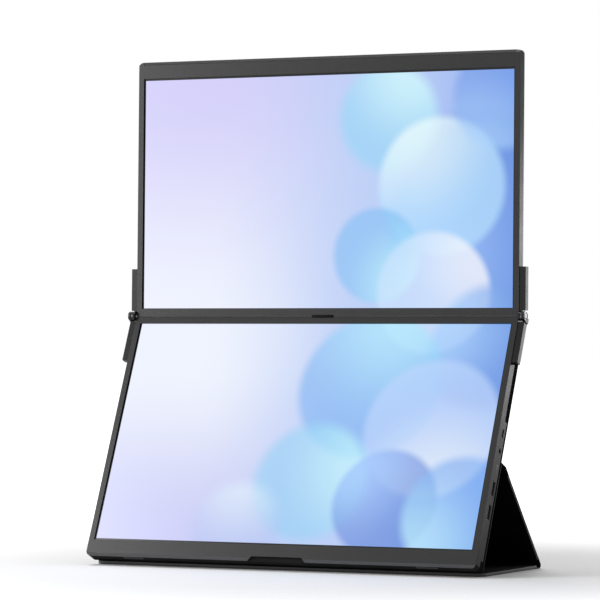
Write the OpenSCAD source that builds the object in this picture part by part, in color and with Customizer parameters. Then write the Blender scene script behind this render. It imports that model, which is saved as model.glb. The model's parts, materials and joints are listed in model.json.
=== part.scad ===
// Double portable monitor standing on its folded cover, in millimetres.
// +X is the viewer's right, +Y the back, +Z up. The origin is on the floor, under the middle of the object.

/* [Screen] */
// Width of the lit area
lit_w = 409.6; // [300:0.1:600]
// Height of the lit area
lit_h = 233; // [160:0.1:340]
// Black border left and right of the lit area
border_side = 1.6; // [0.5:0.1:4]
// Black border at the outer edge of the lit area
border_far = 2.0; // [0.5:0.1:4]
// Black border beside the fold
border_near = 0.2; // [0:0.1:4]
// Thickness of the liquid crystal cell
cell_t = 1.2; // [0.8:0.1:2]
// Thickness of the light guide stack
guide_t = 2.4; // [1.6:0.1:4]
// Thickness of the sheet metal tray
tray_t = 0.5; // [0.3:0.1:1]
// How far the bezel overlaps the cell
cell_overlap = 1.2; // [0.8:0.1:2]
// Width of the strip of lamps along the light guide
lamp_w = 4; // [3:0.5:8]

/* [Display body] */
// Bezel width left and right
side_bezel = 5.8; // [5:0.1:15]
// Bezel width at the outer edge
far_bezel = 16.9; // [14:0.1:40]
// Bezel width beside the fold
near_bezel = 7.4; // [5:0.1:20]
// Thickness of the bezel
bezel_t = 1.6; // [1.2:0.1:2.5]
// Corner radius at the outer edge
corner_r = 4.5; // [3:0.1:10]
// Height of the bevel along the outer edge
bevel_h = 2.8; // [1.5:0.1:4]
// Thickness of the slim display, and of the lower one's frame band near the fold
slim_t = 9.8; // [8.5:0.1:14]
// Thickness of the lower display over its electronics
deep_t = 18; // [16.5:0.1:26]
// Thickness of the back shells
shell_t = 1.5; // [1.2:0.1:2]
// Wall of the frame bands
wall = 1.8; // [1.4:0.1:2.2]
// Rail of the frame bands along the outer edge
rail = 6; // [5.2:0.1:7]
// Width of the locating lip of a back shell
lip_w = 1.2; // [0.8:0.1:2]
// Height of the locating lip of a back shell
lip_h = 1.6; // [1:0.1:2.2]
// Bevel of the lower display's bottom rear edge
heel_bevel = 4; // [3.6:0.1:6]
// Length of the slope behind the fold, where the lower display gets deep
hump_slope = 24; // [12:1:40]
// Width of the strip along the upper display's top edge
trim_w = 413; // [200:1:414]
// Gap line round that strip
trim_gap = 0.3; // [0.2:0.05:0.6]
// Width of the finger notch in the lower edge
notch_w = 63; // [30:1:90]
// Height of the finger notch
notch_h = 4.4; // [2:0.1:4.6]

/* [Sockets] */
// Distance from the fold to the step where the frame band gets deeper
socket_start = 106; // [90:1:110]
// Depth of the frame band beside the sockets
band_deep = 14.8; // [13.8:0.1:15.5]
// Depth of the sockets' middle behind the front
socket_d = 9.8; // [9.2:0.1:10.4]
// Distance from that step to the small oval socket
usb_pitch = 12.8; // [8:0.1:16]
// Distance from the small oval socket to the round audio socket
jack_pitch = 18.2; // [12:0.1:22]
// Distance from the audio socket to the power key
key_pitch = 18; // [13:0.1:22]
// Distance from the power key to the first wide socket
video_start = 20.7; // [16:0.1:24]
// Spacing of the two wide sockets
video_pitch = 24.2; // [20:0.1:26]
// Width and height of the small oval socket
usb_size = [8.9, 3.2]; // [2:0.1:12]
// Diameter of the audio socket's collar
jack_d = 6; // [5:0.1:6.4]
// Bore of the audio socket
jack_bore = 3.6; // [3.4:0.1:3.8]
// Width and height of the wide sockets
video_size = [15.2, 5.6]; // [4:0.1:18]
// Length of the power key
key_l = 7.6; // [5:0.1:9]
// Width of the power key
key_w = 2.2; // [1.6:0.1:3]
// Travel of the power key
key_travel = 0.5; // [0.3:0.05:0.8]

/* [Hinge] */
// Distance of the screens' front faces from the fold axis
axis_gap = 0.4; // [0.3:0.05:1]
// Distance of the screens' meeting edges from the fold axis
edge_gap = 0.1; // [0.05:0.01:0.4]
// Diameter of the barrels
barrel_d = 9.4; // [8:0.1:12]
// Length of one knuckle along the axis
knuckle_l = 3.3; // [2.8:0.1:5]
// Diameter of the pins
pin_d = 3; // [2:0.1:4]
// Thickness of the friction washers
washer_t = 0.4; // [0.3:0.05:0.8]
// Width of an arm, sideways
arm_w = 6.6; // [5.5:0.1:9]
// Depth of an arm, front to back
arm_d = 6.6; // [5:0.1:7.4]
// How far the arms lie behind the front face
arm_recess = 0.8; // [0.2:0.1:1.5]
// Distance from the fold axis to the far end of an arm
arm_l = 48.2; // [36:0.1:70]
// Diameter of the bright end discs
disc_d = 7.8; // [5:0.1:8]
// Diameter of the cable guard in the middle slot
guard_d = 1.8; // [1.2:0.1:2]
// Length of the middle slot
slot_l = 23.4; // [15:0.1:40]
// Half height of the middle slot
slot_h = 1.3; // [1.2:0.1:2]

/* [Cover] */
// How much the cover is narrower than the lower display, on each side
cover_inset = 0.2; // [0:0.1:6]
// Thickness of the base leaf
base_t = 3.7; // [3.4:0.1:6]
// Thickness of the strut leaf
strut_t = 4.4; // [3.4:0.1:6]
// Thickness of the outer skin
skin_t = 1; // [0.6:0.1:1.2]
// Thickness of the lining
lining_t = 0.6; // [0.4:0.1:1]
// Thickness of the leaf stuck to the lower display
back_leaf_t = 2.4; // [2:0.1:4]
// Thickness of the anti-slip strips
foot_t = 0.3; // [0.2:0.1:2]
// Width of the anti-slip strips
foot_w = 10; // [6:1:20]
// Length of the base leaf, from the rear fold axis to its front edge
base_l = 138.2; // [130:0.1:142]
// Corner radius of the base leaf's front corners
base_r = 10; // [4:0.5:20]
// Distance between the two fold axes along the strut
strut_l = 128.2; // [124:0.1:134]
// Outer radius of the rear fold
rear_r = 3; // [2.5:0.1:3.4]
// Outer radius of the upper fold
apex_r = 7.5; // [6:0.1:10]
// Distance from the screen fold to the upper fold axis, along the lower display
apex_h = 152.4; // [140:0.1:160]
// Distance from the screen fold to the back leaf's lower edge
back_leaf_end = 257; // [250:0.1:257.5]
// Soft stretch of a leaf beside the rear fold
rear_soft = 7.3; // [6.5:0.1:12]
// Soft stretch of the strut beside the upper fold
apex_soft = 8; // [6:0.1:14]
// Rim of skin round a stiffener board
skin_rim = 1.5; // [1:0.1:4]
// Size of a bar magnet: length, width, thickness
magnet = [40, 8, 1.6]; // [1:0.1:60]
// Distance from the cover's side edge to the middle of the outer magnets
magnet_side = 72; // [40:1:120]
// Distance of the magnets from the rim of the board that holds them
magnet_rim = 2.5; // [1.5:0.1:6]

/* [Stance] */
// How far the lower display leans back, in degrees
lower_lean = 23.7; // [20:0.1:26]
// How far the upper display leans back, in degrees
upper_lean = 1.1; // [0:0.1:20]

/* [Fits] */
// Clearance between neighbours that don't move
loose = 0.1; // [0.05:0.01:0.2]
// Radial clearance of a pin in a turning knuckle
running = 0.05; // [0.02:0.01:0.09]
// Clearance between neighbours that move past each other
sweep = 0.3; // [0.2:0.05:0.5]

/* [Hidden] */
$fn = 48;
eps = 0.01;

// Display, measured from the fold axis: x sideways, d into the display, h away from the fold
front = axis_gap;
near = edge_gap;
seal_d = 2 * (axis_gap - running);
open_w = lit_w + 2 * border_side;
open_h0 = near + near_bezel;
lit_h0 = open_h0 + border_near;
open_h1 = lit_h0 + lit_h + border_far;
panel_w = open_w + 2 * side_bezel;
panel_h = open_h1 + far_bezel;
side_x = panel_w / 2;
inner_x = side_x - wall;
rail_h = panel_h - rail;
cover_w = panel_w - 2 * cover_inset;
magnet_x = cover_w / 2 - magnet_side;
usb_h = socket_start + usb_pitch;
jack_h = usb_h + jack_pitch;
key_h = jack_h + key_pitch;
video_h = key_h + video_start;
cell_w = open_w + 2 * cell_overlap;
cell_h0 = open_h0 - cell_overlap;
cell_h1 = open_h1 + cell_overlap;
d_cell = front + bezel_t;
d_guide = d_cell + cell_t;
d_tray = d_guide + guide_t;
d_boards = d_tray + tray_t;
d_slim_shell = front + slim_t - shell_t;
d_slim_back = front + slim_t;
d_deep_shell = front + deep_t - shell_t;
d_deep_back = front + deep_t;
d_band = front + band_deep;
d_socket = front + socket_d;
band_margin = 5;
band_end = rail_h - band_margin;
bevel_h0 = panel_h - bevel_h;

// Boards and small parts
board_t = 1.2;
board_rim = 4;
main_t = 1.6;
main_w = 88;
d_main = d_socket + video_size[1] / 2;
main_h0 = socket_start + board_rim;
main_h1 = video_h + video_pitch + video_size[0] / 2 + 6;
main_x1 = inner_x - 1;
main_x0 = main_x1 - main_w;
main_chip = [20, 1.4, 20];
main_chip_place = [24, 40];
post_x = [main_x0 + board_rim, main_x1 - 24];
post_h = [main_h0 + board_rim, main_h1 - board_rim];
post_r = 2.4;
post_pin_r = 1.2;
usb_deep = 8;
usb_wall = 0.3;
tongue_t = 0.7;
tongue_rim = 1.2;
jack_deep = 11;
jack_wall = 0.8;
video_deep = 11;
video_wall = 0.4;
blade_t = 1.2;
blade_rim = 1.5;
socket_back = 1.5;
switch_size = [3.5, 3.4, 6];
spreader = [40, 40, 1.5];
spreader_side = 14;
ribbon_w = 18;
ribbon_t = 0.4;
panel_board_w = 180;
panel_board_l = 18;
panel_board_h = cell_h1 - board_rim;
panel_chip = [12, 0.8, 9];
panel_chip_pitch = 40;
closing_magnet = [20, 8, 2];
back_magnet_t = 1.2;
closing_x = 150;
closing_h = (cell_h1 + tray_t + rail_h) / 2;
speaker_w = 46;
speaker_x = 160;
speaker_end = rail_h - 2;
grille_w = 22;
grille_d = 3.6;
grille_t = 0.8;
grille_mid = front + bezel_t + 3.4;
grille_slots = 9;
grille_pitch = 2.1;
grille_slot = [1.2, 2];
grille_seat_rim = [1, 0.6];
screw_r = 0.9;
screw_head_r = 1.9;
screw_head_t = 0.8;
screw_bite = 1.6;
screw_floor = 2;
boss_wall = 1.4;
pad = 7;
pad_gap = loose;
flange = 1;
switch_x = inner_x - sweep - flange - key_travel - loose;

// Hinge, right side; the left side mirrors it
arm_x0 = side_x;
arm_x1 = side_x + arm_w;
arm_d0 = front + arm_recess;
arm_d1 = arm_d0 + arm_d;
arm_h0 = barrel_d / 2 + 0.8;
upper_knuckle_x = side_x + 0.4;
washer_x = upper_knuckle_x + knuckle_l + loose;
lower_knuckle_x = washer_x + washer_t + loose;
barrel_end_x = lower_knuckle_x + knuckle_l;
disc_t = 0.9;
disc_sink = 0.7;
arm_screw_end = 10;
arm_screw_h = [arm_h0 + arm_screw_end + 4, arm_l - arm_screw_end];

// Cover and stance, first with the screens' fold axis at y = 0
base_bottom = foot_t;
base_top = base_bottom + base_t;
leaf_d0 = d_deep_back;
leaf_d1 = leaf_d0 + back_leaf_t;
apex_d = leaf_d1 + sweep + loose + apex_r;
back_leaf_start = apex_h - apex_r;
axis_z = base_top + sweep + back_leaf_end * cos(lower_lean) + leaf_d1 * sin(lower_lean);
apex_y0 = apex_d * cos(lower_lean) - apex_h * sin(lower_lean);
apex_z = axis_z - apex_h * cos(lower_lean) - apex_d * sin(lower_lean);
rear_z = base_bottom + rear_r;
rear_y0 = apex_y0 + sqrt(pow(strut_l, 2) - pow(apex_z - rear_z, 2));
y_front0 = front * cos(lower_lean) - bevel_h0 * sin(lower_lean);
y_back0 = rear_y0 + rear_r;
axis_y = -(y_front0 + y_back0) / 2;
rear_y = rear_y0 + axis_y;
apex_y = apex_y0 + axis_y;
base_front = rear_y - base_l;
base_end = rear_y - rear_soft;

// The strut's outer face is the line that touches both folds from outside
line_tilt = asin((apex_r - rear_r) / strut_l);
strut_angle = asin((apex_z - rear_z) / strut_l) + line_tilt;
strut_run = strut_l * cos(line_tilt);

echo(axis = [0, axis_y, axis_z], apex = [0, apex_y, apex_z], rear = [0, rear_y, rear_z]);
echo(strut_angle = strut_angle, top = axis_z + panel_h * cos(upper_lean), width = 2 * barrel_end_x);

// ---- placing ----

module upper_place() {
    translate([0, axis_y, axis_z]) rotate([-upper_lean, 0, 0]) children();
}

module lower_place() {
    translate([0, axis_y, axis_z]) rotate([-lower_lean, 0, 0]) mirror([0, 0, 1]) children();
}

// Strut frame: y runs up the strut's outer face from the rear fold, z points out of that face
module strut_place() {
    translate([0, rear_y, rear_z]) rotate([180 - strut_angle, 0, 0]) mirror([0, 0, 1])
        translate([0, 0, rear_r]) children();
}

module both_sides() {
    children();
    mirror([1, 0, 0]) children();
}

// ---- building blocks, in a display's own frame ----

// Plate of outline (x, h) between two depths
module plate(d0, d1) {
    translate([0, d1, 0]) rotate([90, 0, 0]) linear_extrude(d1 - d0) children();
}

// Bar of outline (d, h) between two sideways places
module bar(x0, x1) {
    translate([x0, 0, 0]) rotate([90, 0, 90]) linear_extrude(x1 - x0) children();
}

module block(x0, x1, d0, d1, h0, h1) {
    translate([x0, d0, h0]) cube([x1 - x0, d1 - d0, h1 - h0]);
}

// Rectangle from h0 to h1, its far corners rounded
module far_rounded(w, h0, h1, r) {
    translate([-w / 2, h0]) square([w, h1 - h0 - r]);
    translate([-w / 2 + r, h0]) square([w - 2 * r, h1 - h0]);
    for (side = [-1, 1]) translate([side * (w / 2 - r), h1 - r]) circle(r);
}

module panel_outline() {
    far_rounded(panel_w, near, panel_h, corner_r);
}

module cavity_outline(inset = 0) {
    r = max(corner_r - wall, 1);
    far_rounded(2 * (inner_x - inset), near + wall + inset, rail_h - inset, r);
}

module slot_cut(extra) {
    block(-slot_l / 2 - extra, slot_l / 2 + extra, front - eps, d_boards, 0, slot_h);
}

// ---- pieces that both displays have ----

module bezel_body(extra) {
    difference() {
        intersection() {
            plate(front, front + bezel_t) panel_outline();
            bar(-side_x, side_x) polygon([
                [front, near], [front + bezel_t, near], [front + bezel_t, panel_h], [front, bevel_h0]
            ]);
        }
        plate(front - eps, front + bezel_t + eps)
            translate([-open_w / 2, open_h0]) square([open_w, open_h1 - open_h0]);
        slot_cut(extra);
    }
}

// Frame band ring with screw pads behind the tray
module frame_body(back, extra) {
    difference() {
        union() {
            difference() {
                plate(front + bezel_t, back) panel_outline();
                plate(front + bezel_t - eps, back + eps) cavity_outline();
            }
            for (side = [-1, 1], h = pad_heights)
                block(min(side * inner_x, side * (inner_x - pad)) - eps,
                      max(side * inner_x, side * (inner_x - pad)) + eps,
                      d_boards + pad_gap, back, h - pad / 2, h + pad / 2);
        }
        for (side = [-1, 1], h = pad_heights)
            translate([side * (inner_x - pad / 2), back + eps, h]) rotate([90, 0, 0])
                cylinder(r = screw_r + running, h = back - d_boards);
        both_sides() arm_screw_holes();
        slot_cut(extra);
        block(-slot_l / 2 - extra, slot_l / 2 + extra,
              front, d_boards + ribbon_t + loose, 0, near + wall + eps);
    }
}

pad_heights = [arm_l + 14, socket_start - 8, main_h1 + 12];

module shell_screws(d_back, d_pad) {
    for (side = [-1, 1], h = pad_heights) translate([side * (inner_x - pad / 2), d_back, h])
        rotate([90, 0, 0]) {
            cylinder(r = screw_head_r, h = screw_head_t);
            cylinder(r = screw_r, h = d_back - d_pad + screw_bite);
        }
}

module shell_screw_holes(d_back) {
    for (side = [-1, 1], h = pad_heights) translate([side * (inner_x - pad / 2), d_back + eps, h])
        rotate([90, 0, 0]) {
            cylinder(r = screw_head_r + running, h = screw_head_t + eps);
            cylinder(r = screw_r + running, h = deep_t);
        }
}

module lcd_cell() {
    plate(d_cell, d_guide) translate([-cell_w / 2, cell_h0]) square([cell_w, cell_h1 - cell_h0]);
}

module light_guide() {
    plate(d_guide, d_tray)
        translate([-cell_w / 2 + loose, cell_h0 + loose])
            square([cell_w - 2 * loose, cell_h1 - cell_h0 - lamp_w - 2 * loose]);
}

module lamp_bar() {
    plate(d_guide, d_tray)
        translate([-cell_w / 2 + loose, cell_h1 - lamp_w]) square([cell_w - 2 * loose, lamp_w - loose]);
}

module tray() {
    difference() {
        plate(d_guide, d_boards)
            translate([-cell_w / 2 - tray_t, cell_h0 - tray_t])
                square([cell_w + 2 * tray_t, cell_h1 - cell_h0 + 2 * tray_t]);
        plate(d_guide - eps, d_tray)
            translate([-cell_w / 2, cell_h0]) square([cell_w, cell_h1 - cell_h0]);
    }
}

module panel_board() {
    h1 = panel_board_h;
    d1 = d_boards + board_t;
    block(-panel_board_w / 2, panel_board_w / 2, d_boards, d1, h1 - panel_board_l, h1);
    for (n = [-1.5 : 1.5])
        block(n * panel_chip_pitch - panel_chip[0] / 2, n * panel_chip_pitch + panel_chip[0] / 2,
              d1 - eps, d1 + panel_chip[1], h1 - board_rim - panel_chip[2], h1 - board_rim);
}

// Flat cable on the tray's back, from the middle slot to the given height
module ribbon(h1) {
    block(-ribbon_w / 2, ribbon_w / 2, d_boards, d_boards + ribbon_t, near + wall + loose, h1);
}

module closing_magnets() {
    for (side = [-1, 1])
        block(side * closing_x - closing_magnet[0] / 2, side * closing_x + closing_magnet[0] / 2,
              d_cell, d_cell + closing_magnet[2],
              closing_h - closing_magnet[1] / 2, closing_h + closing_magnet[1] / 2);
}

// ---- hinge, in a display's own frame, right side ----

module knuckle(x0, bore) {
    translate([x0, 0, 0]) rotate([0, 90, 0]) difference() {
        cylinder(d = barrel_d, h = knuckle_l);
        translate([0, 0, -eps]) cylinder(d = bore, h = knuckle_l + 2 * eps);
    }
}

// Arm with a web to the knuckle that starts at x0
module arm(x0, bore) {
    difference() {
        union() {
            block(arm_x0, arm_x1, arm_d0, arm_d1, arm_h0, arm_l);
            difference() {
                block(x0, x0 + knuckle_l, arm_d0, arm_d1, near + loose, arm_h0 + eps);
                translate([x0 - eps, 0, 0]) rotate([0, 90, 0])
                    cylinder(d = barrel_d - 0.2, h = knuckle_l + 2 * eps);
            }
            knuckle(x0, bore);
        }
        for (h = arm_screw_h)
            translate([arm_x0 - eps, (arm_d0 + arm_d1) / 2, h]) rotate([0, 90, 0])
                cylinder(r = screw_r + running, h = 3.1 + eps);
    }
}

module arm_screw_holes() {
    for (h = arm_screw_h) translate([inner_x - eps, (arm_d0 + arm_d1) / 2, h]) rotate([0, 90, 0])
        cylinder(r = screw_r + running, h = wall + 2 * eps);
}

module arm_screws() {
    for (h = arm_screw_h) translate([inner_x, (arm_d0 + arm_d1) / 2, h]) rotate([0, 90, 0]) {
        translate([0, 0, -screw_head_t]) cylinder(r = screw_head_r, h = screw_head_t);
        cylinder(r = screw_r, h = wall + 3);
    }
}

// ---- upper display ----

module upper_bezel() {
    color("#55565a") upper_place() difference() {
        bezel_body(sweep);
        block(-trim_w / 2 - trim_gap, trim_w / 2 + trim_gap, front - eps, front + bezel_t + eps,
              bevel_h0 - trim_gap, panel_h + eps);
    }
}

module upper_trim_strip() {
    color("#6d6e72") upper_place() bar(-trim_w / 2, trim_w / 2) polygon([
        [front, bevel_h0], [front + bezel_t, bevel_h0], [front + bezel_t, panel_h]
    ]);
}

module upper_frame() {
    color("#9b9ca0") upper_place() frame_body(d_slim_shell, sweep);
}

module upper_back_shell() {
    color("#232427") upper_place() difference() {
        union() {
            plate(d_slim_shell, d_slim_back) panel_outline();
            difference() {
                plate(d_slim_shell - lip_h, d_slim_shell + eps) cavity_outline(loose);
                plate(d_slim_shell - lip_h - eps, d_slim_shell + 2 * eps) cavity_outline(loose + lip_w);
                pad_clear(d_slim_shell);
                lip_gap(d_slim_shell);
            }
        }
        shell_screw_holes(d_slim_back);
    }
}

// Room in a shell's lip for the frame's screw pads
module pad_clear(back) {
    for (side = [-1, 1], h = pad_heights)
        block(side * inner_x - pad - loose, side * inner_x + pad + loose,
              back - lip_h - 1, back, h - pad / 2 - loose, h + pad / 2 + loose);
}

// Room in a shell's lip for the flat cable
module lip_gap(back) {
    block(-slot_l, slot_l, back - lip_h - 1, back, near, near + wall + loose + lip_w + 1);
}

module upper_lcd_cell() {
    color("#c9d6f5") upper_place() lcd_cell();
}

module upper_light_guide() {
    color("#f2f4f7") upper_place() light_guide();
}

module upper_tray() {
    color("#b4b7bb") upper_place() tray();
}

module upper_lamp_bar() {
    color("#e9dc9a") upper_place() lamp_bar();
}

module upper_panel_board() {
    color("#1d5c3a") upper_place() panel_board();
}

module upper_ribbon() {
    color("#c98a2b") upper_place() ribbon(panel_board_h - panel_board_l - loose);
}

module upper_closing_magnets() {
    color("#8e9093") upper_place() closing_magnets();
}

module upper_shell_screws() {
    color("#2b2c2e") upper_place() shell_screws(d_slim_back, d_slim_shell);
}

module hinge_upper_arms() {
    color("#5f6064") upper_place() both_sides() arm(upper_knuckle_x, pin_d + 2 * running);
}

module hinge_upper_screws() {
    color("#a9abae") upper_place() both_sides() arm_screws();
}

// ---- lower display ----

module lower_bezel() {
    color("#55565a") lower_place() difference() {
        bezel_body(0);
        finger_notch();
    }
}

module finger_notch() {
    plate(front - eps, front + bezel_t + 1.4) polygon([
        [-notch_w / 2 + notch_h, panel_h - notch_h], [notch_w / 2 - notch_h, panel_h - notch_h],
        [notch_w / 2, panel_h + eps], [-notch_w / 2, panel_h + eps]
    ]);
}

// Side band extensions beside the sockets
module band_wings() {
    for (side = [-1, 1])
        block(min(side * side_x, side * inner_x), max(side * side_x, side * inner_x),
              d_slim_back - eps, d_band, socket_start, band_end);
}

module lower_frame() {
    color("#9b9ca0") lower_place() difference() {
        union() {
            frame_body(d_slim_back, 0);
            band_wings();
        }
        finger_notch();
        socket_cuts();
        for (side = [-1, 1]) grille_seat(side);
    }
}

module oval(l, w) {
    for (end = [-1, 1]) translate([0, end * (l - w) / 2]) circle(d = w);
    square([w, l - w], center = true);
}

// Prism along x of an outline (d, h) centred at height h and the sockets' depth
module at_socket(h, x0, x1) {
    translate([0, d_socket, h]) bar(x0, x1) children();
}

module socket_cuts() {
    at_socket(usb_h, inner_x - eps, side_x + eps) oval(usb_size[0] + 2 * loose, usb_size[1] + 2 * loose);
    at_socket(jack_h, inner_x - eps, side_x + eps) circle(d = jack_d + 2 * loose);
    at_socket(key_h, inner_x - eps, side_x + eps) oval(key_l + 2 * loose, key_w + 2 * loose);
    for (n = [0, 1]) at_socket(video_h + n * video_pitch, inner_x - eps, side_x + eps)
        square([video_size[1] + 2 * loose, video_size[0] + 2 * loose], center = true);
}

// Upright block of the given width and depth, centred on the grilles' middle line at place x
module grille_block(x, w, d, h0, h1) {
    block(x - w / 2, x + w / 2, grille_mid - d / 2, grille_mid + d / 2, h0, h1);
}

module grille_seat(side) {
    grille_block(side * speaker_x, grille_w + 2 * loose, grille_d + 2 * loose,
                 panel_h - grille_t, panel_h + eps);
    grille_block(side * speaker_x, grille_w - 2 * grille_seat_rim[0], grille_d - 2 * grille_seat_rim[1],
                 rail_h - eps, panel_h);
}

module speaker_grilles() {
    middle = (grille_slots - 1) / 2;
    color("#3c3d40") lower_place() for (side = [-1, 1]) difference() {
        grille_block(side * speaker_x, grille_w, grille_d, panel_h - grille_t, panel_h);
        for (n = [-middle : middle])
            grille_block(side * speaker_x + n * grille_pitch, grille_slot[0], grille_slot[1],
                         panel_h - grille_t - eps, panel_h + eps);
    }
}

module speakers() {
    color("#1b1b1d") lower_place() for (side = [-1, 1])
        block(side * speaker_x - speaker_w / 2, side * speaker_x + speaker_w / 2,
              d_boards + loose, d_deep_shell - 1, cell_h1 + tray_t + loose, speaker_end);
}

// Outline (d, h) of the lower back shell, outside
module deep_profile() {
    polygon([
        [d_slim_back, near], [d_deep_back, near + hump_slope], [d_deep_back, panel_h - heel_bevel],
        [d_deep_back - heel_bevel, panel_h], [d_slim_back, panel_h]
    ]);
}

module deep_hollow() {
    polygon([
        [d_slim_back - eps, near + wall + shell_t + 2], [d_deep_shell, near + hump_slope + wall + shell_t],
        [d_deep_shell, rail_h - 1], [d_slim_back - eps, rail_h - 1]
    ]);
}

module lower_back_shell() {
    color("#151517") lower_place() difference() {
        union() {
            difference() {
                intersection() {
                    plate(d_slim_back, d_deep_back) panel_outline();
                    bar(-side_x, side_x) deep_profile();
                }
                bar(-inner_x, inner_x) deep_hollow();
            }
            difference() {
                plate(d_slim_back - lip_h, d_slim_back + eps) cavity_outline(loose);
                plate(d_slim_back - lip_h - eps, d_slim_back + 2 * eps) cavity_outline(loose + lip_w);
                pad_clear(d_slim_back);
                lip_gap(d_slim_back);
                block(inner_x - lip_w - 1, inner_x + eps, d_slim_back - lip_h - 1, d_slim_back + 3 * eps,
                      socket_start, band_end);
            }
            for (side = [-1, 1], h = pad_heights)
                translate([side * (inner_x - pad / 2), d_deep_shell + eps, h]) rotate([90, 0, 0])
                    cylinder(r = screw_head_r + boss_wall, h = d_deep_shell - d_slim_back + eps);
        }
        for (side = [-1, 1])
            block(min(side * (side_x + eps), side * (inner_x - loose)),
                  max(side * (side_x + eps), side * (inner_x - loose)),
                  d_slim_back - eps, d_band, socket_start - loose, band_end + loose);
        for (side = [-1, 1], h = pad_heights)
            translate([side * (inner_x - pad / 2), d_deep_back + eps, h]) rotate([90, 0, 0])
                cylinder(r = screw_head_r + running, h = deep_t - slim_t - screw_floor);
        shell_screw_holes(d_slim_back + screw_floor);
    }
}

module lower_lcd_cell() {
    color("#c9d6f5") lower_place() lcd_cell();
}

module lower_light_guide() {
    color("#f2f4f7") lower_place() light_guide();
}

module lower_tray() {
    color("#b4b7bb") lower_place() tray();
}

module lower_lamp_bar() {
    color("#e9dc9a") lower_place() lamp_bar();
}

module lower_panel_board() {
    color("#1d5c3a") lower_place() panel_board();
}

module lower_ribbon() {
    color("#c98a2b") lower_place() ribbon(panel_board_h - panel_board_l - loose);
}

module lower_closing_magnets() {
    color("#8e9093") lower_place() closing_magnets();
}

module lower_shell_screws() {
    color("#2b2c2e") lower_place() shell_screws(d_slim_back + screw_floor, d_slim_back);
}

module main_board() {
    color("#174a8a") lower_place() difference() {
        union() {
            block(main_x0, main_x1, d_main, d_main + main_t, main_h0, main_h1);
            translate([main_x0 + main_chip_place[0], d_main - main_chip[1], main_h0 + main_chip_place[1]])
                cube(main_chip + [0, eps, 0]);
        }
        for (x = post_x, h = post_h) translate([x, d_main - eps, h]) rotate([-90, 0, 0])
            cylinder(r = post_pin_r + loose, h = main_t + 2 * eps);
    }
}

module board_standoffs() {
    color("#b79a4a") lower_place() for (x = post_x, h = post_h)
        translate([x, d_boards, h]) rotate([-90, 0, 0]) {
            cylinder(r = post_r, h = d_main - d_boards);
            cylinder(r = post_pin_r, h = d_main + main_t + post_pin_r / 2 - d_boards);
        }
}

module heat_spreader() {
    color("#b9bcc0") lower_place()
        block(main_x0 + spreader_side, main_x0 + spreader_side + spreader[0],
              d_main + main_t, d_main + main_t + spreader[2],
              (main_h0 + main_h1 - spreader[1]) / 2, (main_h0 + main_h1 + spreader[1]) / 2);
}

module data_socket() {
    color("#c3c5c8") lower_place() difference() {
        union() {
            at_socket(usb_h, side_x - usb_deep, side_x - 0.3) oval(usb_size[0], usb_size[1]);
            block(side_x - usb_deep, main_x1, d_socket + 1, d_main, usb_h - 3, usb_h + 3);
        }
        at_socket(usb_h, side_x - usb_deep + socket_back, side_x)
            oval(usb_size[0] - 2 * usb_wall, usb_size[1] - 2 * usb_wall);
    }
    color("#1b1b1d") lower_place()
        at_socket(usb_h, side_x - usb_deep + socket_back - loose, side_x - 1.2)
            square([tongue_t, usb_size[0] - 2 * tongue_rim], center = true);
}

module audio_socket() {
    color("#2b2c2e") lower_place() difference() {
        union() {
            at_socket(jack_h, inner_x - jack_deep, main_x1)
                square([video_size[1], jack_d + 2 * jack_wall], center = true);
            at_socket(jack_h, main_x1 - eps, side_x - 0.2) circle(d = jack_d);
        }
        at_socket(jack_h, inner_x - jack_deep + 1, side_x) circle(d = jack_bore);
    }
}

module video_sockets() {
    color("#c3c5c8") lower_place() for (n = [0, 1]) difference() {
        at_socket(video_h + n * video_pitch, side_x - video_deep, side_x - 0.3)
            square([video_size[1], video_size[0]], center = true);
        at_socket(video_h + n * video_pitch, side_x - video_deep + socket_back, side_x)
            square([video_size[1] - 2 * video_wall, video_size[0] - 2 * video_wall], center = true);
    }
    color("#1b1b1d") lower_place() for (n = [0, 1])
        at_socket(video_h + n * video_pitch, side_x - video_deep + socket_back - loose, side_x - blade_rim)
            square([blade_t, video_size[0] - 2 * blade_rim], center = true);
}

module power_key() {
    color("#77787c") lower_place() {
        at_socket(key_h, inner_x - sweep - flange, side_x) oval(key_l, key_w);
        at_socket(key_h, inner_x - sweep - flange, inner_x - sweep)
            square([key_w + 2 * flange, key_l + 2 * flange], center = true);
    }
}

module key_switch() {
    color("#4a4b4e") lower_place()
        block(switch_x - switch_size[0], switch_x, d_main - switch_size[1], d_main,
              key_h - switch_size[2] / 2, key_h + switch_size[2] / 2);
}

module hinge_lower_arms() {
    color("#3a3b3e") lower_place() both_sides() difference() {
        arm(lower_knuckle_x, pin_d + running);
        translate([barrel_end_x - disc_sink, 0, 0]) rotate([0, 90, 0])
            cylinder(d = disc_d + 2 * running, h = disc_sink + eps);
    }
}

module hinge_lower_screws() {
    color("#a9abae") lower_place() both_sides() arm_screws();
}

module hinge_pins() {
    color("#d0d2d4") lower_place() both_sides()
        translate([upper_knuckle_x, 0, 0]) rotate([0, 90, 0])
            cylinder(d = pin_d, h = barrel_end_x - disc_sink - upper_knuckle_x);
}

module hinge_washers() {
    color("#8e9093") lower_place() both_sides()
        translate([washer_x, 0, 0]) rotate([0, 90, 0]) difference() {
            cylinder(d = barrel_d - 1, h = washer_t);
            translate([0, 0, -eps]) cylinder(d = pin_d + running, h = washer_t + 2 * eps);
        }
}

module hinge_end_discs() {
    color("#e6e8ea") lower_place() both_sides()
        translate([barrel_end_x - disc_sink, 0, 0]) rotate([0, 90, 0]) cylinder(d = disc_d, h = disc_t);
}

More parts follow.
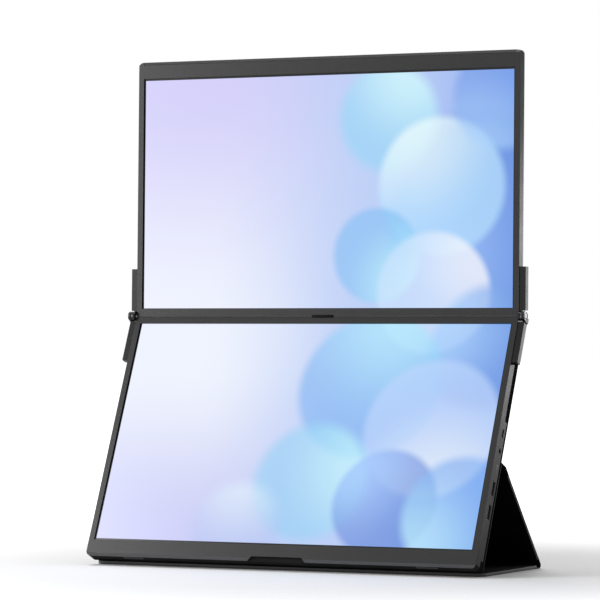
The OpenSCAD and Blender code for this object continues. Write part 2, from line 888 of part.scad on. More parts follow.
// Rolled guard on the fold axis, with the flat tail that goes into the lower display
module cable_guard() {
    color("#0c0c0d") lower_place() {
        translate([-slot_l / 2, 0, 0]) rotate([0, 90, 0]) cylinder(d = guard_d, h = slot_l);
        block(-ribbon_w / 2, ribbon_w / 2, 0, d_boards + ribbon_t, guard_d / 2 - 0.5, guard_d / 2 - 0.1);
        block(-ribbon_w / 2, ribbon_w / 2, d_boards, d_boards + ribbon_t,
              guard_d / 2 - 0.5, near + wall + loose);
    }
}

// Thin cords on the fold axis, between the middle slot and the barrels
module fold_seals() {
    color("#3a3b3e") lower_place() both_sides()
        translate([slot_l / 2 + sweep, 0, 0]) rotate([0, 90, 0])
            cylinder(d = seal_d, h = side_x - slot_l / 2 - 2 * sweep);
}

// ---- cover ----

module base_outline(inset = 0) {
    r = base_r - inset;
    w = cover_w - 2 * inset;
    y0 = base_front + inset;
    y1 = base_end - inset;
    translate([-w / 2, y0 + r]) square([w, y1 - y0 - r]);
    translate([-w / 2 + r, y0]) square([w - 2 * r, y1 - y0]);
    for (side = [-1, 1]) translate([side * (w / 2 - r), y0 + r]) circle(r);
}

module base_skin() {
    color("#101012") difference() {
        union() {
            translate([0, 0, base_bottom]) linear_extrude(base_t - lining_t) base_outline();
            translate([-cover_w / 2, base_end - eps, base_bottom]) cube([cover_w, rear_soft, skin_t]);
        }
        translate([0, 0, base_bottom + skin_t]) linear_extrude(base_t) base_outline(skin_rim);
        translate([-cover_w, rear_y, rear_z]) rotate([0, 90, 0])
            cylinder(r = rear_r + sweep, h = 2 * cover_w);
    }
}

module base_board() {
    color("#c8b48c") difference() {
        translate([0, 0, base_bottom + skin_t]) linear_extrude(base_t - skin_t - lining_t)
            base_outline(skin_rim + loose);
        base_magnet_bars(loose);
    }
}

module base_magnet_bars(room) {
    for (x = [-magnet_x, 0, magnet_x])
        translate([x - magnet[0] / 2 - room, base_front + skin_rim + magnet_rim - room,
                   base_top - lining_t - magnet[2] - room])
            cube([magnet[0] + 2 * room, magnet[1] + 2 * room, magnet[2] + 2 * room]);
}

module base_magnets() {
    color("#8e9093") base_magnet_bars(0);
}

module base_lining() {
    color("#1c1c1f") translate([0, 0, base_top - lining_t]) linear_extrude(lining_t) base_outline();
}

module base_feet() {
    color("#050505") for (y = [base_front + base_r, base_end - foot_w - 4])
        translate([-cover_w / 2 + base_r, y, 0]) cube([cover_w - 2 * base_r, foot_w, foot_t]);
}

// Sheet of the strut between two places along it and two distances below its outer face
module strut_sheet(u0, u1, n0, n1, inset) {
    translate([-cover_w / 2 + inset, u0, -n1]) cube([cover_w - 2 * inset, u1 - u0, n1 - n0]);
}

module strut_skin() {
    u0 = rear_soft;
    u1 = strut_run - apex_soft;
    color("#0d0d0f") strut_place() difference() {
        union() {
            strut_sheet(0, strut_run, 0, skin_t, 0);
            strut_sheet(u0, u1, 0, strut_t - lining_t, 0);
        }
        strut_sheet(u0 + skin_rim, u1 - skin_rim, skin_t, strut_t, skin_rim);
    }
}

module strut_board() {
    edge = skin_rim + loose;
    color("#c8b48c") strut_place()
        strut_sheet(rear_soft + edge, strut_run - apex_soft - edge, skin_t, strut_t - lining_t, edge);
}

module strut_lining() {
    color("#1c1c1f") strut_place()
        strut_sheet(rear_soft, strut_run - apex_soft, strut_t - lining_t, strut_t, 0);
}

// Curved strip of skin round a fold, from the strut's outer face through the given angle
module fold_strip(r, wrap) {
    rotate([90, 0, 90]) translate([0, 0, -cover_w / 2]) rotate_extrude(angle = wrap)
        translate([r - skin_t, 0]) square([skin_t, cover_w]);
}

module rear_fold() {
    tuck = 60;
    wrap = 180 - strut_angle + tuck;
    color("#0d0d0f") translate([0, rear_y, rear_z]) rotate([-90 - tuck, 0, 0]) fold_strip(rear_r, wrap);
}

module upper_fold() {
    wrap = 90 + strut_angle - lower_lean;
    color("#0d0d0f") translate([0, apex_y, apex_z]) rotate([90 - strut_angle, 0, 0])
        fold_strip(apex_r, wrap);
}

module leaf_plate(d0, d1, inset) {
    block(-cover_w / 2 + inset, cover_w / 2 - inset, d0, d1, back_leaf_start + inset, back_leaf_end - inset);
}

module back_leaf_skin() {
    color("#101012") lower_place() difference() {
        leaf_plate(leaf_d0, leaf_d1, 0);
        leaf_plate(leaf_d0 - eps, leaf_d1 - lining_t, skin_rim);
    }
}

module back_leaf_board() {
    color("#c8b48c") lower_place() difference() {
        leaf_plate(leaf_d0, leaf_d1 - lining_t, skin_rim + loose);
        back_leaf_magnet_bars(loose);
    }
}

module back_leaf_magnet_bars(room) {
    far = back_leaf_end - skin_rim - magnet_rim;
    for (x = [-magnet_x, 0, magnet_x])
        block(x - magnet[0] / 2 - room, x + magnet[0] / 2 + room,
              leaf_d0 - room, leaf_d0 + back_magnet_t + room, far - magnet[1] - room, far + room);
}

module back_leaf_magnets() {
    color("#8e9093") lower_place() back_leaf_magnet_bars(0);
}

base_skin();
base_board();
base_lining();
base_magnets();
base_feet();
strut_skin();
strut_board();
strut_lining();
rear_fold();
upper_fold();
back_leaf_skin();
back_leaf_board();
back_leaf_magnets();
lower_bezel();
lower_frame();
lower_back_shell();
lower_lcd_cell();
lower_light_guide();
lower_tray();
lower_lamp_bar();
lower_panel_board();
lower_ribbon();
lower_closing_magnets();
lower_shell_screws();
main_board();
board_standoffs();
heat_spreader();
data_socket();
audio_socket();
video_sockets();
key_switch();
speakers();
speaker_grilles();
power_key();
hinge_lower_arms();
hinge_lower_screws();
hinge_pins();
hinge_washers();
hinge_end_discs();
cable_guard();
fold_seals();
upper_bezel();
upper_trim_strip();
upper_frame();
upper_back_shell();
upper_lcd_cell();
upper_light_guide();
upper_tray();
upper_lamp_bar();
upper_panel_board();
upper_ribbon();
upper_closing_magnets();
upper_shell_screws();
hinge_upper_arms();
hinge_upper_screws();
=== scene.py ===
import bpy, bmesh, json, math
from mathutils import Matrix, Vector

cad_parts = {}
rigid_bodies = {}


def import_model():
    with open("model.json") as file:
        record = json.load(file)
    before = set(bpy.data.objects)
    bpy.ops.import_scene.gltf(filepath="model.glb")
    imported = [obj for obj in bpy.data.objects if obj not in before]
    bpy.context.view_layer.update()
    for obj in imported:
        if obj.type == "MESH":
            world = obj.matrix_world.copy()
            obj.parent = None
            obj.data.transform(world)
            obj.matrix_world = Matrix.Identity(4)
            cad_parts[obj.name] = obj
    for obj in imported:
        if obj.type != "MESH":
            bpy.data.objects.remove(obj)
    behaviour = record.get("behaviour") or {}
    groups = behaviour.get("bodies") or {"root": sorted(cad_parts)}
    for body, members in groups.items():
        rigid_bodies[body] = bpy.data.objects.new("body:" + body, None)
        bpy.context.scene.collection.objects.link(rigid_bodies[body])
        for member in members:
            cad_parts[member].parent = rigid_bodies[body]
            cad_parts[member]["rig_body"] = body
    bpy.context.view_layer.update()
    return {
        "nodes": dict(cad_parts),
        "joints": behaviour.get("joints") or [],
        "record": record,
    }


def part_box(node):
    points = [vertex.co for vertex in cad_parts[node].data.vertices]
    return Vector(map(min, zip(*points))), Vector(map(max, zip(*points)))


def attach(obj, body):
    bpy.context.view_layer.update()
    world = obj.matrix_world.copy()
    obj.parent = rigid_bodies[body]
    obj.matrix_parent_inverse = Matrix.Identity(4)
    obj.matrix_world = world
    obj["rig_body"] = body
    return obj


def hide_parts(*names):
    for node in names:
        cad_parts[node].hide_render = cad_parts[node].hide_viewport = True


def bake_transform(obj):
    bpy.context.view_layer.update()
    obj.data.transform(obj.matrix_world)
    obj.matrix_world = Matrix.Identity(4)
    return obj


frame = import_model()
NODES = frame["nodes"]
JOINTS = {j["name"]: j for j in frame["joints"]}
AXIS = Vector(JOINTS["screen_fold"]["pos_m"])
APEX = Vector(JOINTS["upper_fold"]["pos_m"])
REAR = Vector(JOINTS["rear_fold"]["pos_m"])
LOWER_LEAN = math.radians(23.7)
UPPER_LEAN = math.radians(1.1)
MM = 0.001
scene = bpy.context.scene


# ---------------------------------------------------------------- places
class Display:
    """A display's own frame: x sideways, d into it, h away from the fold, all in millimetres."""

    def __init__(self, lean, up):
        c, s = math.cos(lean), math.sin(lean)
        self.depth = Vector((0, c, -s))
        self.away = Vector((0, s, c)) * up

    def at(self, x, d, h):
        """The point in metres."""
        return AXIS + (Vector((x, 0, 0)) + self.depth * d + self.away * h) * MM

    def back(self, point):
        """The same three numbers of a point in metres."""
        v = (point - AXIS) / MM
        return v.x, v.dot(self.depth), v.dot(self.away)


LOWER = Display(LOWER_LEAN, -1)
UPPER = Display(UPPER_LEAN, 1)

# Cover, in millimetres, as in the solids
FOLD_REAR_R = 3.0
FOLD_APEX_R = 7.5
SKIN_T = 1.0
LINING_T = 0.6
STRUT_T = 4.4
STRUT_SOFT = (7.3, 8.0)
BASE_FRONT_R = 10.0
BACK_LEAF = (18.4, 20.8)
BACK_LEAF_H = (144.9, 257.0)
APEX_TOP_D = 28.7
COVER_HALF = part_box("base_skin")[1][0] / MM

# Display bodies, middle slot, flat cable and hinges, in millimetres
DISPLAY_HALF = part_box("upper_bezel")[1][0] / MM
OUTER_H = UPPER.back(Vector(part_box("upper_back_shell")[1]))[2]
LIT_HALF = 204.8
UPPER_LIT = (8.1, 240.7)
LOWER_LIT = (-240.7, -7.3)
SLOT_HALF = 1.3
CABLE_TOP = 0.4
CABLE_T = 0.4
BARREL_REACH = 4.85
ARM_SIDE = 4.5

# The strut's outer face runs along both folds' outer radii
SPAN = APEX - REAR
TILT = math.asin((FOLD_APEX_R - FOLD_REAR_R) * MM / SPAN.length)
STRUT_ANGLE = math.atan2(SPAN.z, -SPAN.y) + TILT
STRUT_RUN = SPAN.length * math.cos(TILT) / MM
STRUT_OUT = Vector((0, math.sin(STRUT_ANGLE), math.cos(STRUT_ANGLE)))
STRUT_UP = Vector((0, -math.cos(STRUT_ANGLE), math.sin(STRUT_ANGLE)))


def on_strut(x, u, w):
    """A point of the strut: u up along its outer face from the rear fold, w below that face."""
    return REAR + Vector((x, 0, 0)) * MM + (STRUT_OUT * (FOLD_REAR_R - w) + STRUT_UP * u) * MM


# ---------------------------------------------------------------- camera
CAMERA_AZIMUTH = 26.73
CAMERA_PITCH = 0.30
CAMERA_LENS = 218.56
CAMERA_FROM_AXIS = (1.61177, -3.25065, -0.00288)


def make_camera():
    """Long lens at the right, nearly level with the screens' fold."""
    az, pitch = math.radians(CAMERA_AZIMUTH), math.radians(CAMERA_PITCH)
    forward = Vector((-math.sin(az) * math.cos(pitch), math.cos(az) * math.cos(pitch), math.sin(pitch)))
    cam = bpy.data.cameras.new("camera")
    cam.lens = CAMERA_LENS
    cam.sensor_width = 36
    cam.clip_start = 0.1
    cam.clip_end = 60
    ob = bpy.data.objects.new("camera", cam)
    ob.location = AXIS + Vector(CAMERA_FROM_AXIS)
    ob.rotation_euler = forward.to_track_quat("-Z", "Y").to_euler()
    scene.collection.objects.link(ob)
    scene.camera = ob


make_camera()


# ---------------------------------------------------------------- materials
def linear(r, g, b):
    """A display colour of 0 to 255 per channel as a linear one, with alpha."""
    def one(v):
        v /= 255
        return v / 12.92 if v <= 0.04045 else ((v + 0.055) / 1.055) ** 2.4
    return (one(r), one(g), one(b), 1)


class Mat:
    """A node material on a principled shader, with helpers that add and link nodes."""

    def __init__(self, name, color, rough, metallic=0.0, specular=0.5, **more):
        self.m = bpy.data.materials.new(name)
        self.m.use_nodes = True
        self.t = self.m.node_tree
        self.p = self.t.nodes["Principled BSDF"]
        self.p.inputs["Base Color"].default_value = (*color[:3], 1)
        self.p.inputs["Roughness"].default_value = rough
        self.p.inputs["Metallic"].default_value = metallic
        self.p.inputs["Specular IOR Level"].default_value = specular
        for k, v in more.items():
            self.p.inputs[k.replace("_", " ")].default_value = v
        self.coord = None

    def node(self, kind, **props):
        n = self.t.nodes.new(kind)
        for k, v in props.items():
            setattr(n, k, v)
        return n

    def link(self, a, b):
        self.t.links.new(a, b)

    def object_coords(self):
        if self.coord is None:
            self.coord = self.node("ShaderNodeTexCoord").outputs["Object"]
        return self.coord

    def noise(self, scale, detail=3, rough=0.5, stretch=None):
        n = self.node("ShaderNodeTexNoise")
        n.inputs["Scale"].default_value = scale
        n.inputs["Detail"].default_value = detail
        n.inputs["Roughness"].default_value = rough
        source = self.object_coords()
        if stretch:
            mp = self.node("ShaderNodeMapping")
            mp.inputs["Scale"].default_value = stretch
            self.link(source, mp.inputs["Vector"])
            source = mp.outputs["Vector"]
        self.link(source, n.inputs["Vector"])
        return n.outputs["Fac"]

    def ramp(self, fac, a, b):
        """Spreads the middle of a noise field over the range a..b."""
        n = self.node("ShaderNodeMapRange")
        n.inputs["From Min"].default_value = 0.35
        n.inputs["From Max"].default_value = 0.65
        n.inputs["To Min"].default_value = a
        n.inputs["To Max"].default_value = b
        self.link(fac, n.inputs["Value"])
        return n.outputs["Result"]

    def mottle(self, fac, a, b):
        """Base colour that wanders between a and b."""
        n = self.node("ShaderNodeMix", data_type="RGBA")
        n.inputs["A"].default_value = (*a[:3], 1)
        n.inputs["B"].default_value = (*b[:3], 1)
        self.link(self.ramp(fac, 0, 1), n.inputs["Factor"])
        self.link(n.outputs["Result"], self.p.inputs["Base Color"])

    def bump(self, height, strength, distance):
        n = self.node("ShaderNodeBump")
        n.inputs["Strength"].default_value = strength
        n.inputs["Distance"].default_value = distance
        self.link(height, n.inputs["Height"])
        self.link(n.outputs["Normal"], self.p.inputs["Normal"])


def shade(c, k):
    """A colour k times as bright."""
    return tuple(min(1, v * k) for v in c[:3])


def satin(name, color, rough, metallic=0.0, specular=0.5, grain=2600, vary=0.12, **more):
    """Bead-blasted, painted or anodised surface: fine speckle in colour, gloss and height."""
    m = Mat(name, color, rough, metallic, specular, **more)
    fine = m.noise(grain, 2)
    m.mottle(m.noise(38, 3), shade(color, 1 - vary), shade(color, 1 + vary))
    m.link(m.ramp(fine, rough - 0.06, rough + 0.06), m.p.inputs["Roughness"])
    m.bump(fine, 0.12, 0.00005)
    return m.m


def brushed(name, color, rough):
    """Metal with fine lines along X in colour, gloss and height."""
    m = Mat(name, color, rough, 1.0)
    lines = m.noise(300, 3, 0.6, (1, 60, 60))
    m.mottle(lines, shade(color, 0.86), shade(color, 1.08))
    m.link(m.ramp(lines, rough - 0.08, rough + 0.1), m.p.inputs["Roughness"])
    m.bump(lines, 0.10, 0.00003)
    return m.m


def leather(name, color, rough=0.55, specular=0.25, creases=False):
    """Leather-look skin: fine pebbled cells, a slightly uneven sheen and, on a fold, creases along it."""
    grain = 900.0
    m = Mat(name, color, rough, 0.0, specular)
    cells = m.node("ShaderNodeTexVoronoi", feature="DISTANCE_TO_EDGE")
    cells.inputs["Scale"].default_value = grain
    m.link(m.object_coords(), cells.inputs["Vector"])
    fine = m.noise(grain * 2.4, 3)
    pebbled = m.node("ShaderNodeMath", operation="MULTIPLY_ADD")
    m.link(cells.outputs["Distance"], pebbled.inputs[0])
    pebbled.inputs[1].default_value = 1.6
    m.link(fine, pebbled.inputs[2])
    broad = m.noise(22, 4, 0.6)
    m.mottle(broad, shade(color, 0.88), shade(color, 1.14))
    m.link(m.ramp(broad, rough - 0.03, rough + 0.04), m.p.inputs["Roughness"])
    height = pebbled.outputs["Value"]
    if creases:
        folds = m.noise(420, 3, 0.55, (0.03, 1, 1))
        deep = m.node("ShaderNodeMath", operation="MULTIPLY_ADD")
        m.link(folds, deep.inputs[0])
        deep.inputs[1].default_value = 2.2
        m.link(height, deep.inputs[2])
        height = deep.outputs["Value"]
    m.bump(height, 0.45, 0.00025)
    return m.m


def microfibre(name, color):
    """Matt lining with a short nap."""
    m = Mat(name, color, 0.95, 0.0, 0.03)
    nap = m.noise(1800, 4, 0.7)
    m.mottle(m.noise(60, 4), shade(color, 0.8), shade(color, 1.25))
    m.bump(nap, 0.5, 0.0003)
    return m.m


def chip_board(name, color):
    """Printed board: solder mask with faint copper runs and light marks."""
    m = Mat(name, color, 0.35)
    runs = m.node("ShaderNodeTexBrick")
    runs.inputs["Scale"].default_value = 60
    runs.inputs["Color1"].default_value = (*shade(color, 1.0), 1)
    runs.inputs["Color2"].default_value = (*shade(color, 0.8), 1)
    runs.inputs["Mortar"].default_value = (*shade(color, 1.7), 1)
    runs.inputs["Mortar Size"].default_value = 0.04
    m.link(m.object_coords(), runs.inputs["Vector"])
    m.link(runs.outputs["Color"], m.p.inputs["Base Color"])
    m.bump(runs.outputs["Fac"], 0.15, 0.0001)
    return m.m


M = {
    "bezel": satin("bezel_grey", (0.023, 0.023, 0.0238), 0.31, specular=0.28, vary=0.04),
    # painted reflection: the sloped edge is a brighter copy of the bezel's grey, standing in for the floor
    # it mirrors
    "chamfer": satin("bezel_chamfer_painted_reflection", (0.052, 0.052, 0.0535), 0.31, specular=0.55, vary=0.04),
    # painted shade: the walls of the screen opening and notch are black, where shade falls in the recess
    "bezel_lip": satin("bezel_lip_painted_shade_black", (0.004, 0.004, 0.0045), 0.5, specular=0.2),
    # painted shade: a paler, nearly glossless copy of the bezel on the edges that face the fold, put in
    # place of the sky's reflection on them
    "bezel_seam": satin("bezel_seam_painted_shade_grey", (0.050, 0.050, 0.051), 0.6, specular=0.02),
    "frame_band": satin("frame_band_metal", (0.050, 0.050, 0.051), 0.36, 1.0,
                        Specular_Tint=(0.5, 0.5, 0.5, 1)),
    # painted shade: downward faces of the frames and the finger notch's walls, darker than the frame's own
    # metal
    "underside": satin("underside_painted_shade_dark", (0.018, 0.018, 0.0185), 0.6, specular=0.01),
    "back_shell": satin("back_shell_black", (0.007, 0.007, 0.0075), 0.5, specular=0.3),
    "shell_side": satin("shell_side_black", (0.010, 0.010, 0.0105), 0.7, specular=0.0),
    "upper_shell": satin("upper_shell_grey", (0.036, 0.036, 0.0375), 0.42, specular=0.3, vary=0.05),
    "trim": satin("trim_grey", (0.042, 0.042, 0.043), 0.36, specular=0.3, vary=0.04),
    "hinge_arm": satin("hinge_arm_grey", (0.003, 0.003, 0.0034), 0.31, specular=0.26, vary=0.05),
    "barrel": satin("hinge_barrel_black", (0.003, 0.003, 0.0035), 0.16, specular=0.3, vary=0.05),
    "disc": brushed("end_disc_metal", (0.075, 0.076, 0.078), 0.22),
    "steel": brushed("steel_plain", (0.56, 0.56, 0.57), 0.3),
    # painted shade: the port shells are much darker than plain steel, so that the openings read as shaded
    # inside
    "socket_shell": brushed("socket_steel_painted_shade", (0.09, 0.09, 0.095), 0.45),
    "black_plastic": satin("plastic_black", (0.006, 0.006, 0.0065), 0.5, specular=0.06),
    "seal": satin("seal_cord", (0.060, 0.060, 0.062), 0.5, grain=1500),
    "grille": satin("grille_dark", (0.050, 0.050, 0.052), 0.5),
    "key": satin("key_dark", (0.020, 0.020, 0.021), 0.35, specular=0.15),
    "dark_screw": satin("screw_black", (0.02, 0.02, 0.02), 0.3, 0.8),
    "cover_skin": leather("cover_skin_black", (0.0070, 0.0070, 0.0074)),
    # painted shade: the same leather as the cover skin, made darker for the faces inside the stand, where
    # shade falls
    "inner_skin_painted_shade": leather("inner_skin_painted_shade_black", (0.0022, 0.0022, 0.0024), 0.7, 0.05),
    "fold_skin": leather("fold_skin_black", (0.0036, 0.0036, 0.0039), 0.62, 0.08, creases=True),
    "cover_edge": satin("cover_edge_paint", (0.030, 0.030, 0.032), 0.5, grain=900),
    "cover_lining": microfibre("cover_lining_dark", (0.0022, 0.0022, 0.0024)),
    "board": satin("grey_board", (0.42, 0.36, 0.26), 0.9, grain=700),
    "magnet": brushed("magnet_nickel", (0.6, 0.6, 0.61), 0.28),
    "anti_slip": satin("anti_slip_rubber", (0.012, 0.012, 0.012), 0.9, grain=1500),
    "tray": brushed("tray_sheet", (0.66, 0.67, 0.68), 0.35),
    "light_guide": satin("light_guide_white", (0.85, 0.86, 0.88), 0.3, vary=0.02),
    "lamp": satin("lamp_strip", (0.75, 0.68, 0.35), 0.4),
    "circuit": chip_board("board_green", (0.02, 0.12, 0.06)),
    "flex": satin("flat_cable", (0.35, 0.18, 0.04), 0.35),
    "brass_post": brushed("brass_posts", (0.72, 0.52, 0.2), 0.3),
    "spreader": brushed("heat_spreader_sheet", (0.62, 0.63, 0.64), 0.35),
}


# ---------------------------------------------------------------- the lit picture
# A plain abstract: soft overlapping discs over a lavender field, one picture across both screens.
# Each disc: centre x and height above the fold, radius, edge softness, colour, strength, side that shines.
DISCS = [
    (178, 96, 118, 26, (96, 138, 222), 0.75, 200),
    (70, 196, 62, 18, (150, 214, 248), 0.70, 60),
    (128, 128, 74, 12, (178, 222, 255), 0.72, 120),
    (192, 214, 58, 14, (108, 150, 232), 0.62, 250),
    (58, 60, 52, 10, (120, 190, 246), 0.62, 320),
    (120, 22, 66, 10, (206, 228, 255), 0.66, 30),
    (186, -34, 72, 16, (104, 148, 226), 0.72, 160),
    (66, -74, 84, 14, (112, 178, 244), 0.62, 75),
    (140, -118, 78, 12, (188, 214, 255), 0.66, 290),
    (20, -176, 70, 18, (140, 208, 246), 0.60, 20),
    (104, -196, 60, 10, (92, 134, 218), 0.70, 135),
    (184, -206, 66, 14, (126, 176, 244), 0.70, 220),
    (-52, -226, 58, 22, (172, 190, 240), 0.45, 90),
]
# How far the lit area's edge is blurred, in millimetres
EDGE_BLUR = 0.1


def screen_material(name, lean, lit_range):
    """Display front: black border outside the lit area, the picture inside it, glass gloss over both."""
    m = Mat(name, (0.006, 0.006, 0.008), 0.18, 0.0, 0.35)
    place = m.node("ShaderNodeMapping", vector_type="TEXTURE")
    place.inputs["Location"].default_value = AXIS
    place.inputs["Rotation"].default_value = (-lean, 0, 0)
    m.link(m.object_coords(), place.inputs["Vector"])
    parts = m.node("ShaderNodeSeparateXYZ")
    m.link(place.outputs["Vector"], parts.inputs[0])
    x, z = parts.outputs["X"], parts.outputs["Z"]

    def math_node(op, *values):
        n = m.node("ShaderNodeMath", operation=op)
        for i, v in enumerate(values):
            if isinstance(v, float):
                n.inputs[i].default_value = v
            else:
                m.link(v, n.inputs[i])
        return n.outputs[0]

    flat = m.node("ShaderNodeCombineXYZ")
    m.link(x, flat.inputs[0])
    m.link(z, flat.inputs[1])
    flat = flat.outputs[0]

    def smooth(value, a, b, top=1.0):
        """Rises from 0 at a to top at b."""
        n = m.node("ShaderNodeMapRange", interpolation_type="SMOOTHSTEP")
        n.inputs["From Min"].default_value = a
        n.inputs["From Max"].default_value = b
        n.inputs["To Max"].default_value = top
        m.link(value, n.inputs["Value"])
        return n.outputs["Result"]

    def mix(fac, a, b):
        n = m.node("ShaderNodeMix", data_type="RGBA")
        for socket, v in (("Factor", fac), ("A", a), ("B", b)):
            if isinstance(v, tuple):
                n.inputs[socket].default_value = v
            else:
                m.link(v, n.inputs[socket])
        return n.outputs["Result"]

    # the field: lavender at the upper left, nearly white by the fold, blue at the right
    soft = m.noise(3.2, 2)
    across = math_node("MULTIPLY_ADD", soft, 0.10, math_node("ADD", x, -0.05))
    field = mix(smooth(z, 0.24, -0.02), linear(212, 208, 250), linear(240, 244, 255))
    field = mix(smooth(z, -0.05, -0.25), field, linear(200, 202, 244))
    field = mix(smooth(across, -0.13, 0.06), field, linear(190, 208, 248))
    field = mix(smooth(across, 0.04, 0.24), field, linear(124, 166, 240))
    for cx, cz, r, edge, color, strength, shine in DISCS:
        gap = m.node("ShaderNodeVectorMath", operation="DISTANCE")
        m.link(flat, gap.inputs[0])
        gap.inputs[1].default_value = (cx * MM, cz * MM, 0)
        body = smooth(gap.outputs["Value"], r * MM, (r - edge) * MM, strength)
        a = math.radians(shine)
        off = m.node("ShaderNodeVectorMath", operation="DISTANCE")
        m.link(flat, off.inputs[0])
        shine_x, shine_z = cx + 0.9 * r * math.cos(a), cz + 0.9 * r * math.sin(a)
        off.inputs[1].default_value = (shine_x * MM, shine_z * MM, 0)
        glow = smooth(off.outputs["Value"], 1.5 * r * MM, 0.1 * r * MM)
        tone = mix(glow, linear(*color), linear(*[min(255, v + 60) for v in color]))
        field = mix(body, field, tone)
    inside = smooth(math_node("ABSOLUTE", x), (LIT_HALF + EDGE_BLUR) * MM, (LIT_HALF - EDGE_BLUR) * MM)
    lo, hi = lit_range
    above = smooth(z, (lo - EDGE_BLUR) * MM, (lo + EDGE_BLUR) * MM)
    below = smooth(z, (hi + EDGE_BLUR) * MM, (hi - EDGE_BLUR) * MM)
    inside = math_node("MULTIPLY", inside, above)
    inside = math_node("MULTIPLY", inside, below)
    lit = mix(inside, (0, 0, 0, 1), field)
    m.link(lit, m.p.inputs["Emission Color"])
    m.p.inputs["Emission Strength"].default_value = 0.95
    return m.m


M["screen_upper"] = screen_material("screen_upper", UPPER_LEAN, UPPER_LIT)
M["screen_lower"] = screen_material("screen_lower", LOWER_LEAN, LOWER_LIT)

# Every solid is painted as its material slot says, apart from these
SLOT_OF = {s["node"]: s["material_slot"] for s in frame["record"]["subparts"]}
OWN_LOOK = {"upper_lcd_cell": "screen_upper", "lower_lcd_cell": "screen_lower", "speaker_grilles": "grille"}
for name, ob in NODES.items():
    ob.data.materials.clear()
    ob.data.materials.append(M[OWN_LOOK.get(name) or SLOT_OF[name]])


# ---------------------------------------------------------------- pieces
# Lengths in metres, turns in degrees
WELD = 2e-6
FLAT_TURN = 0.8
SHARP_TURN = 35
ROUND_TURN = 40
ROUND_TURN_BESIDE_WIDE = 3
WIDE_FACE = 60 * MM * MM


def add(name, mesh, body):
    """A visible piece, put on its body when one is given."""
    ob = bpy.data.objects.new(name, mesh)
    scene.collection.objects.link(ob)
    if body:
        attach(ob, body)
    return ob


def shade_smooth(bm, round_turn):
    """Smooth shading; an edge stays sharp where its faces turn by more than round_turn(edge) degrees."""
    bm.normal_update()
    for f in bm.faces:
        f.smooth = True
    for e in bm.edges:
        if len(e.link_faces) == 2:
            e.smooth = e.calc_face_angle(0) < math.radians(round_turn(e))


def turn_by_width(edge):
    """Edges beside a wide face stay sharp sooner, so that no shading runs out over it."""
    wide = max(f.calc_area() for f in edge.link_faces) > WIDE_FACE
    return ROUND_TURN_BESIDE_WIDE if wide else ROUND_TURN


def soften(name, width, segments, mats, pick=None):
    """A node's own solid with its sharp edges rounded by width mm; pick names a face's material."""
    src = NODES[name]
    mesh = src.data.copy()
    mesh.materials.clear()
    for m in mats:
        mesh.materials.append(M[m])
    bm = bmesh.new()
    bm.from_mesh(mesh)
    bmesh.ops.remove_doubles(bm, verts=bm.verts, dist=WELD)
    bmesh.ops.dissolve_limit(bm, angle_limit=math.radians(FLAT_TURN), verts=bm.verts, edges=bm.edges)
    sharp = [e for e in bm.edges
             if len(e.link_faces) == 2 and e.calc_face_angle(0) > math.radians(SHARP_TURN)]
    bmesh.ops.bevel(bm, geom=sharp, offset=width * MM, segments=segments, profile=0.5,
                    affect="EDGES", clamp_overlap=True)
    bm.normal_update()
    if pick:
        for f in bm.faces:
            f.material_index = mats.index(pick(f))
    shade_smooth(bm, turn_by_width)
    bm.to_mesh(mesh)
    bm.free()
    mesh.name = name + "_soft"
    ob = add(name + "_finished", mesh, src["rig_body"])
    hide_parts(name)


def ring_loft(name, rings, mats, mat_of=lambda k: 0):
    """Closed solid through rings of equally many points; mat_of(k) is the material after ring k."""
    mesh = bpy.data.meshes.new(name)
    bm = bmesh.new()
    rows = [[bm.verts.new(v) for v in ring] for ring in rings]
    count = len(rows[0])
    for k in range(len(rows) - 1):
        for i in range(count):
            j = (i + 1) % count
            f = bm.faces.new((rows[k][i], rows[k][j], rows[k + 1][j], rows[k + 1][i]))
            f.material_index = mat_of(k)
    first = bm.faces.new(rows[0][::-1])
    first.material_index = mat_of(0)
    last = bm.faces.new(rows[-1])
    last.material_index = mat_of(len(rows) - 2)
    bmesh.ops.recalc_face_normals(bm, faces=bm.faces)
    shade_smooth(bm, lambda edge: ROUND_TURN)
    bm.to_mesh(mesh)
    bm.free()
    for m in mats:
        mesh.materials.append(M[m])
    return mesh


def join_rings(name, sets, mats, mat_of=lambda k: 0):
    """One mesh of several lofted solids."""
    whole = bmesh.new()
    for n, rings in enumerate(sets):
        part = ring_loft(f"{name}_{n}", rings, mats, mat_of)
        whole.from_mesh(part)
        bpy.data.meshes.remove(part)
    mesh = bpy.data.meshes.new(name)
    whole.to_mesh(mesh)
    whole.free()
    for m in mats:
        mesh.materials.append(M[m])
    return mesh


SMALLEST_R = 0.05
CORNER_STEPS = 10
TURNED_STEPS = 48


def rounded_outline(half, a, b, r_a, r_b, inset):
    """Points of a rectangle |x| < half, a < y < b, drawn in by inset; corners r_a at a and r_b at b."""
    out = []
    corners = ((-1, a, r_a, 180), (1, a, r_a, 270), (1, b, r_b, 0), (-1, b, r_b, 90))
    for side, y, r, start in corners:
        r = max(r - inset, SMALLEST_R)
        cx = side * (half - inset - r)
        cy = y + inset + r if y == a else y - inset - r
        for k in range(CORNER_STEPS + 1):
            t = math.radians(start + 90 * k / CORNER_STEPS)
            out.append((cx + r * math.cos(t), cy + r * math.sin(t)))
    return out


